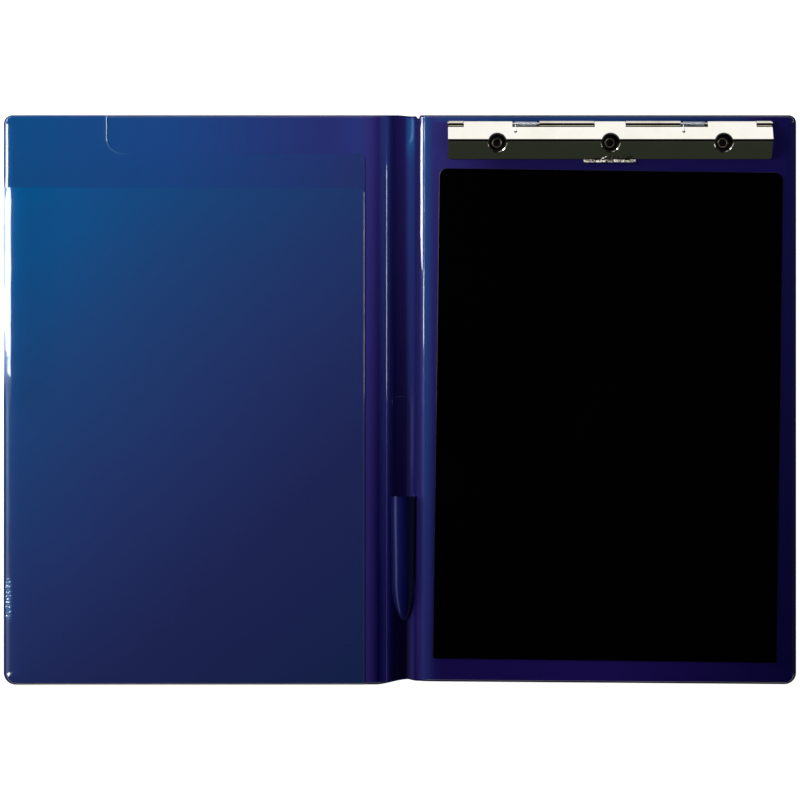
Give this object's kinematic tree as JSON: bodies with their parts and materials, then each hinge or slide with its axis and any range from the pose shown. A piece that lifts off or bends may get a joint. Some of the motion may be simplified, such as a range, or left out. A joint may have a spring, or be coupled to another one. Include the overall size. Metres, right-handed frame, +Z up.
{
  "type": "clipboard folder",
  "caption": "Book-style A4 clipboard folder: film-covered boards on a soft spine, sprung steel paper clamp, pen sheath and inside pocket.",
  "frame": {"origin": "middle of the underside of the open folder", "axes": "+X across the open folder from the front cover to the back panel, +Y towards the clamp end, +Z up from the outer film"},
  "size_m": [0.474, 0.3408, 0.0119],
  "materials": {
    "cover_film": "glossy dark blue PVC film",
    "lining_film": "glossy dark blue PVC film, welded over the board",
    "pocket_film": "thin glossy blue PVC film",
    "grey_board": "plain grey board",
    "plate_film": "glossy black sheet",
    "lever_steel": "polished nickel-plated steel",
    "base_steel": "nickel-plated steel",
    "pin_steel": "bright drawn steel",
    "spring_steel": "zinc-plated spring wire",
    "rivet_steel": "nickel-plated steel"
  },
  "bodies": {
    "back_panel": {"back_outer_skin": "cover_film", "back_board": "grey_board", "back_lining": "lining_film", "writing_plate": "plate_film", "clamp_base": "base_steel", "hinge_pin": "pin_steel", "rivets": "rivet_steel", "spring_left": "spring_steel", "spring_right": "spring_steel"},
    "spine": {"spine_outer_skin": "cover_film", "spine_lining": "lining_film", "pen_sheath_backing": "lining_film", "pen_sheath": "lining_film"},
    "front_cover": {"front_outer_skin": "cover_film", "front_board": "grey_board", "front_lining": "lining_film", "pocket_tall_sheet": "pocket_film", "pocket_short_sheet": "pocket_film"},
    "clamp_lever": {"clamp_lever": "lever_steel"}
  },
  "joints": [
    {"name": "spine_hinge", "type": "hinge", "parent": "back_panel", "child": "spine", "pos_m": [0.0118, 0, 0.0004], "axis": [0, 1, 0], "range_deg": [-90, 90]},
    {"name": "cover_hinge", "type": "hinge", "parent": "spine", "child": "front_cover", "pos_m": [-0.0078, 0, 0.0004], "axis": [0, 1, 0], "range_deg": [-90, 90]},
    {"name": "clamp_hinge", "type": "hinge", "parent": "back_panel", "child": "clamp_lever", "pos_m": [0.1252, 0.1645, 0.00485], "axis": [-1, 0, 0], "range_deg": [0, 30], "stiffness_Nm_per_rad": 0.1, "springref_deg": -85.94, "deforming": ["spring_left", "spring_right"]}
  ]
}
